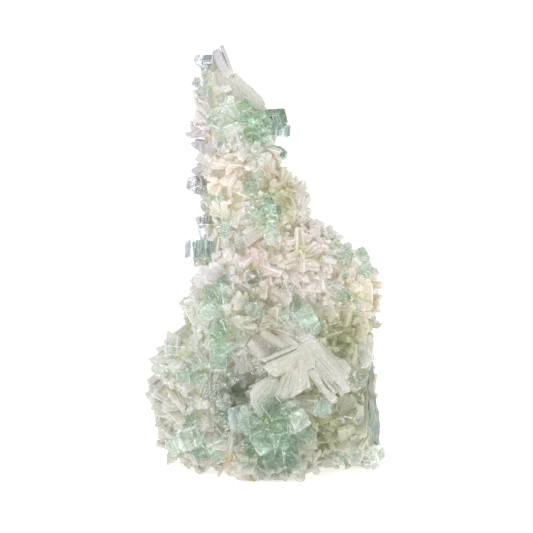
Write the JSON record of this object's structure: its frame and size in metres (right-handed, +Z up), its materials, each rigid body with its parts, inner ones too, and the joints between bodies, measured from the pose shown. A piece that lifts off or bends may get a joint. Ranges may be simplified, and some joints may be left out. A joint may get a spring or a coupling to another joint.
{
  "type": "apophyllite and stilbite crystal cluster",
  "caption": "Tall tapering natural cluster of pale green apophyllite blocks on cream stilbite blades, standing on a sawn flat foot.",
  "frame": {"origin": "on the flat that the cluster stands on, under its body", "axes": "+Z up along the cluster to its crest, -Y towards the display side, +X to the right of someone who looks at it"},
  "size_m": [0.085, 0.0616, 0.1476],
  "materials": {
    "stilbite": "pearly translucent cream crystal blades",
    "apophyllite": "glassy clear to pale green crystal",
    "matrix": "rough grey-green chalcedony and broken rock"
  },
  "bodies": {
    "root": {"apophyllite_cluster": "stilbite"}
  },
  "joints": []
}
